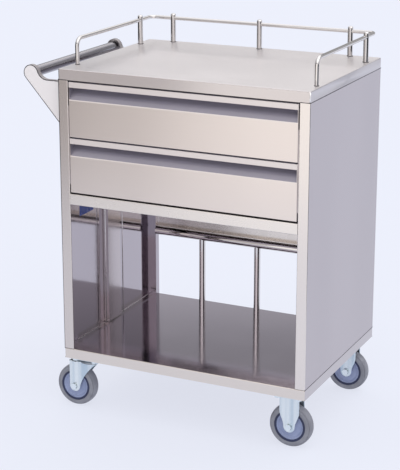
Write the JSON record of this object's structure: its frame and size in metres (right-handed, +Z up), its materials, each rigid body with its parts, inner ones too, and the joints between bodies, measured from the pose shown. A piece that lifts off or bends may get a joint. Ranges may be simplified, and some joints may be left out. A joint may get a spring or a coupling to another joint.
{
  "type": "medication cart",
  "caption": "Stainless steel ward cart: railed top tray, drawers with finger pulls, an open lower bay, a side push handle and swivel and fixed casters.",
  "frame": {"origin": "middle of the whole cart's footprint box, at floor level under the wheels", "axes": "+Z up, -Y is the drawer side, +X points from the push handle along the cart to the fixed casters"},
  "size_m": [0.707, 0.44, 0.8795],
  "materials": {
    "cabinet_steel": "vertical satin brushed stainless sheet",
    "tray_steel": "satin brushed stainless, grain along the tray",
    "shelf_steel": "semi-bright stainless sheet",
    "drawer_front_steel": "satin brushed stainless, grain along the front",
    "drawer_box_steel": "plain stainless sheet",
    "rail_chrome": "polished stainless rod and tube",
    "handle_steel": "fine satin stainless",
    "fastener_zinc": "bright zinc plating",
    "slide_zinc": "bright zinc plating",
    "caster_zinc": "blue-white zinc plating on pressed steel",
    "hub_plastic": "moulded slate-blue plastic",
    "tyre_rubber": "grey non-marking rubber",
    "label_film": "plain film with no print"
  },
  "bodies": {
    "cabinet": {"left_side_panel": "cabinet_steel", "right_side_panel": "cabinet_steel", "rear_panel": "cabinet_steel", "mid_front_rail": "cabinet_steel", "bay_ceiling": "cabinet_steel", "left_stiffener": "cabinet_steel", "right_stiffener": "cabinet_steel", "left_caster_channel": "cabinet_steel", "right_caster_channel": "cabinet_steel", "runner_plates": "cabinet_steel", "top_tray": "tray_steel", "base_shelf": "shelf_steel", "guard_rail": "rail_chrome", "guard_rail_posts": "rail_chrome", "rear_cross_tube": "rail_chrome", "rear_guard_bars": "rail_chrome", "handle_bracket_front": "handle_steel", "handle_bracket_rear": "handle_steel", "handle_tube": "handle_steel", "guard_rail_nuts": "fastener_zinc", "handle_screws": "fastener_zinc", "caster_bolts": "fastener_zinc", "label_plate": "label_film", "kingpins": "caster_zinc", "upper_left_slide_outer": "slide_zinc", "upper_right_slide_outer": "slide_zinc", "lower_left_slide_outer": "slide_zinc", "lower_right_slide_outer": "slide_zinc", "front_left_swivel_plate": "caster_zinc", "front_right_rigid_fork": "caster_zinc", "front_right_axle": "fastener_zinc", "rear_left_swivel_plate": "caster_zinc", "rear_right_rigid_fork": "caster_zinc", "rear_right_axle": "fastener_zinc"},
    "upper_drawer": {"upper_drawer_front": "drawer_front_steel", "upper_pull_lip": "drawer_front_steel", "upper_drawer_box": "drawer_box_steel", "upper_left_slide_inner": "slide_zinc", "upper_right_slide_inner": "slide_zinc"},
    "upper_slide_middles": {"upper_left_slide_middle": "slide_zinc", "upper_right_slide_middle": "slide_zinc"},
    "lower_drawer": {"lower_drawer_front": "drawer_front_steel", "lower_pull_lip": "drawer_front_steel", "lower_drawer_box": "drawer_box_steel", "lower_left_slide_inner": "slide_zinc", "lower_right_slide_inner": "slide_zinc"},
    "lower_slide_middles": {"lower_left_slide_middle": "slide_zinc", "lower_right_slide_middle": "slide_zinc"},
    "front_left_fork": {"front_left_swivel_fork": "caster_zinc", "front_left_axle": "fastener_zinc"},
    "front_left_wheel": {"front_left_hub": "hub_plastic", "front_left_tyre": "tyre_rubber"},
    "front_right_wheel": {"front_right_hub": "hub_plastic", "front_right_tyre": "tyre_rubber"},
    "rear_left_fork": {"rear_left_swivel_fork": "caster_zinc", "rear_left_axle": "fastener_zinc"},
    "rear_left_wheel": {"rear_left_hub": "hub_plastic", "rear_left_tyre": "tyre_rubber"},
    "rear_right_wheel": {"rear_right_hub": "hub_plastic", "rear_right_tyre": "tyre_rubber"}
  },
  "joints": [
    {"name": "upper_drawer_slide", "type": "slide", "parent": "cabinet", "child": "upper_drawer", "axis": [0, -1, 0], "range_m": [0, 0.34]},
    {"name": "upper_middles_slide", "type": "slide", "parent": "cabinet", "child": "upper_slide_middles", "axis": [0, -1, 0], "range_m": [0, 0.17]},
    {"name": "lower_drawer_slide", "type": "slide", "parent": "cabinet", "child": "lower_drawer", "axis": [0, -1, 0], "range_m": [0, 0.34]},
    {"name": "lower_middles_slide", "type": "slide", "parent": "cabinet", "child": "lower_slide_middles", "axis": [0, -1, 0], "range_m": [0, 0.17]},
    {"name": "front_left_swivel", "type": "hinge", "parent": "cabinet", "child": "front_left_fork", "pos_m": [-0.2065, -0.18, 0.113], "axis": [0, 0, 1], "continuous": true},
    {"name": "front_left_spin", "type": "hinge", "parent": "front_left_fork", "child": "front_left_wheel", "pos_m": [-0.2405, -0.18, 0.05], "axis": [0, 1, 0], "continuous": true},
    {"name": "front_right_spin", "type": "hinge", "parent": "cabinet", "child": "front_right_wheel", "pos_m": [0.3035, -0.18, 0.05], "axis": [0, 1, 0], "continuous": true},
    {"name": "rear_left_swivel", "type": "hinge", "parent": "cabinet", "child": "rear_left_fork", "pos_m": [-0.2065, 0.18, 0.113], "axis": [0, 0, 1], "continuous": true},
    {"name": "rear_left_spin", "type": "hinge", "parent": "rear_left_fork", "child": "rear_left_wheel", "pos_m": [-0.2405, 0.18, 0.05], "axis": [0, 1, 0], "continuous": true},
    {"name": "rear_right_spin", "type": "hinge", "parent": "cabinet", "child": "rear_right_wheel", "pos_m": [0.3035, 0.18, 0.05], "axis": [0, 1, 0], "continuous": true}
  ],
  "couplings": [
    {"joint": "upper_middles_slide", "follows": "upper_drawer_slide", "ratio": 0.5},
    {"joint": "lower_middles_slide", "follows": "lower_drawer_slide", "ratio": 0.5}
  ]
}
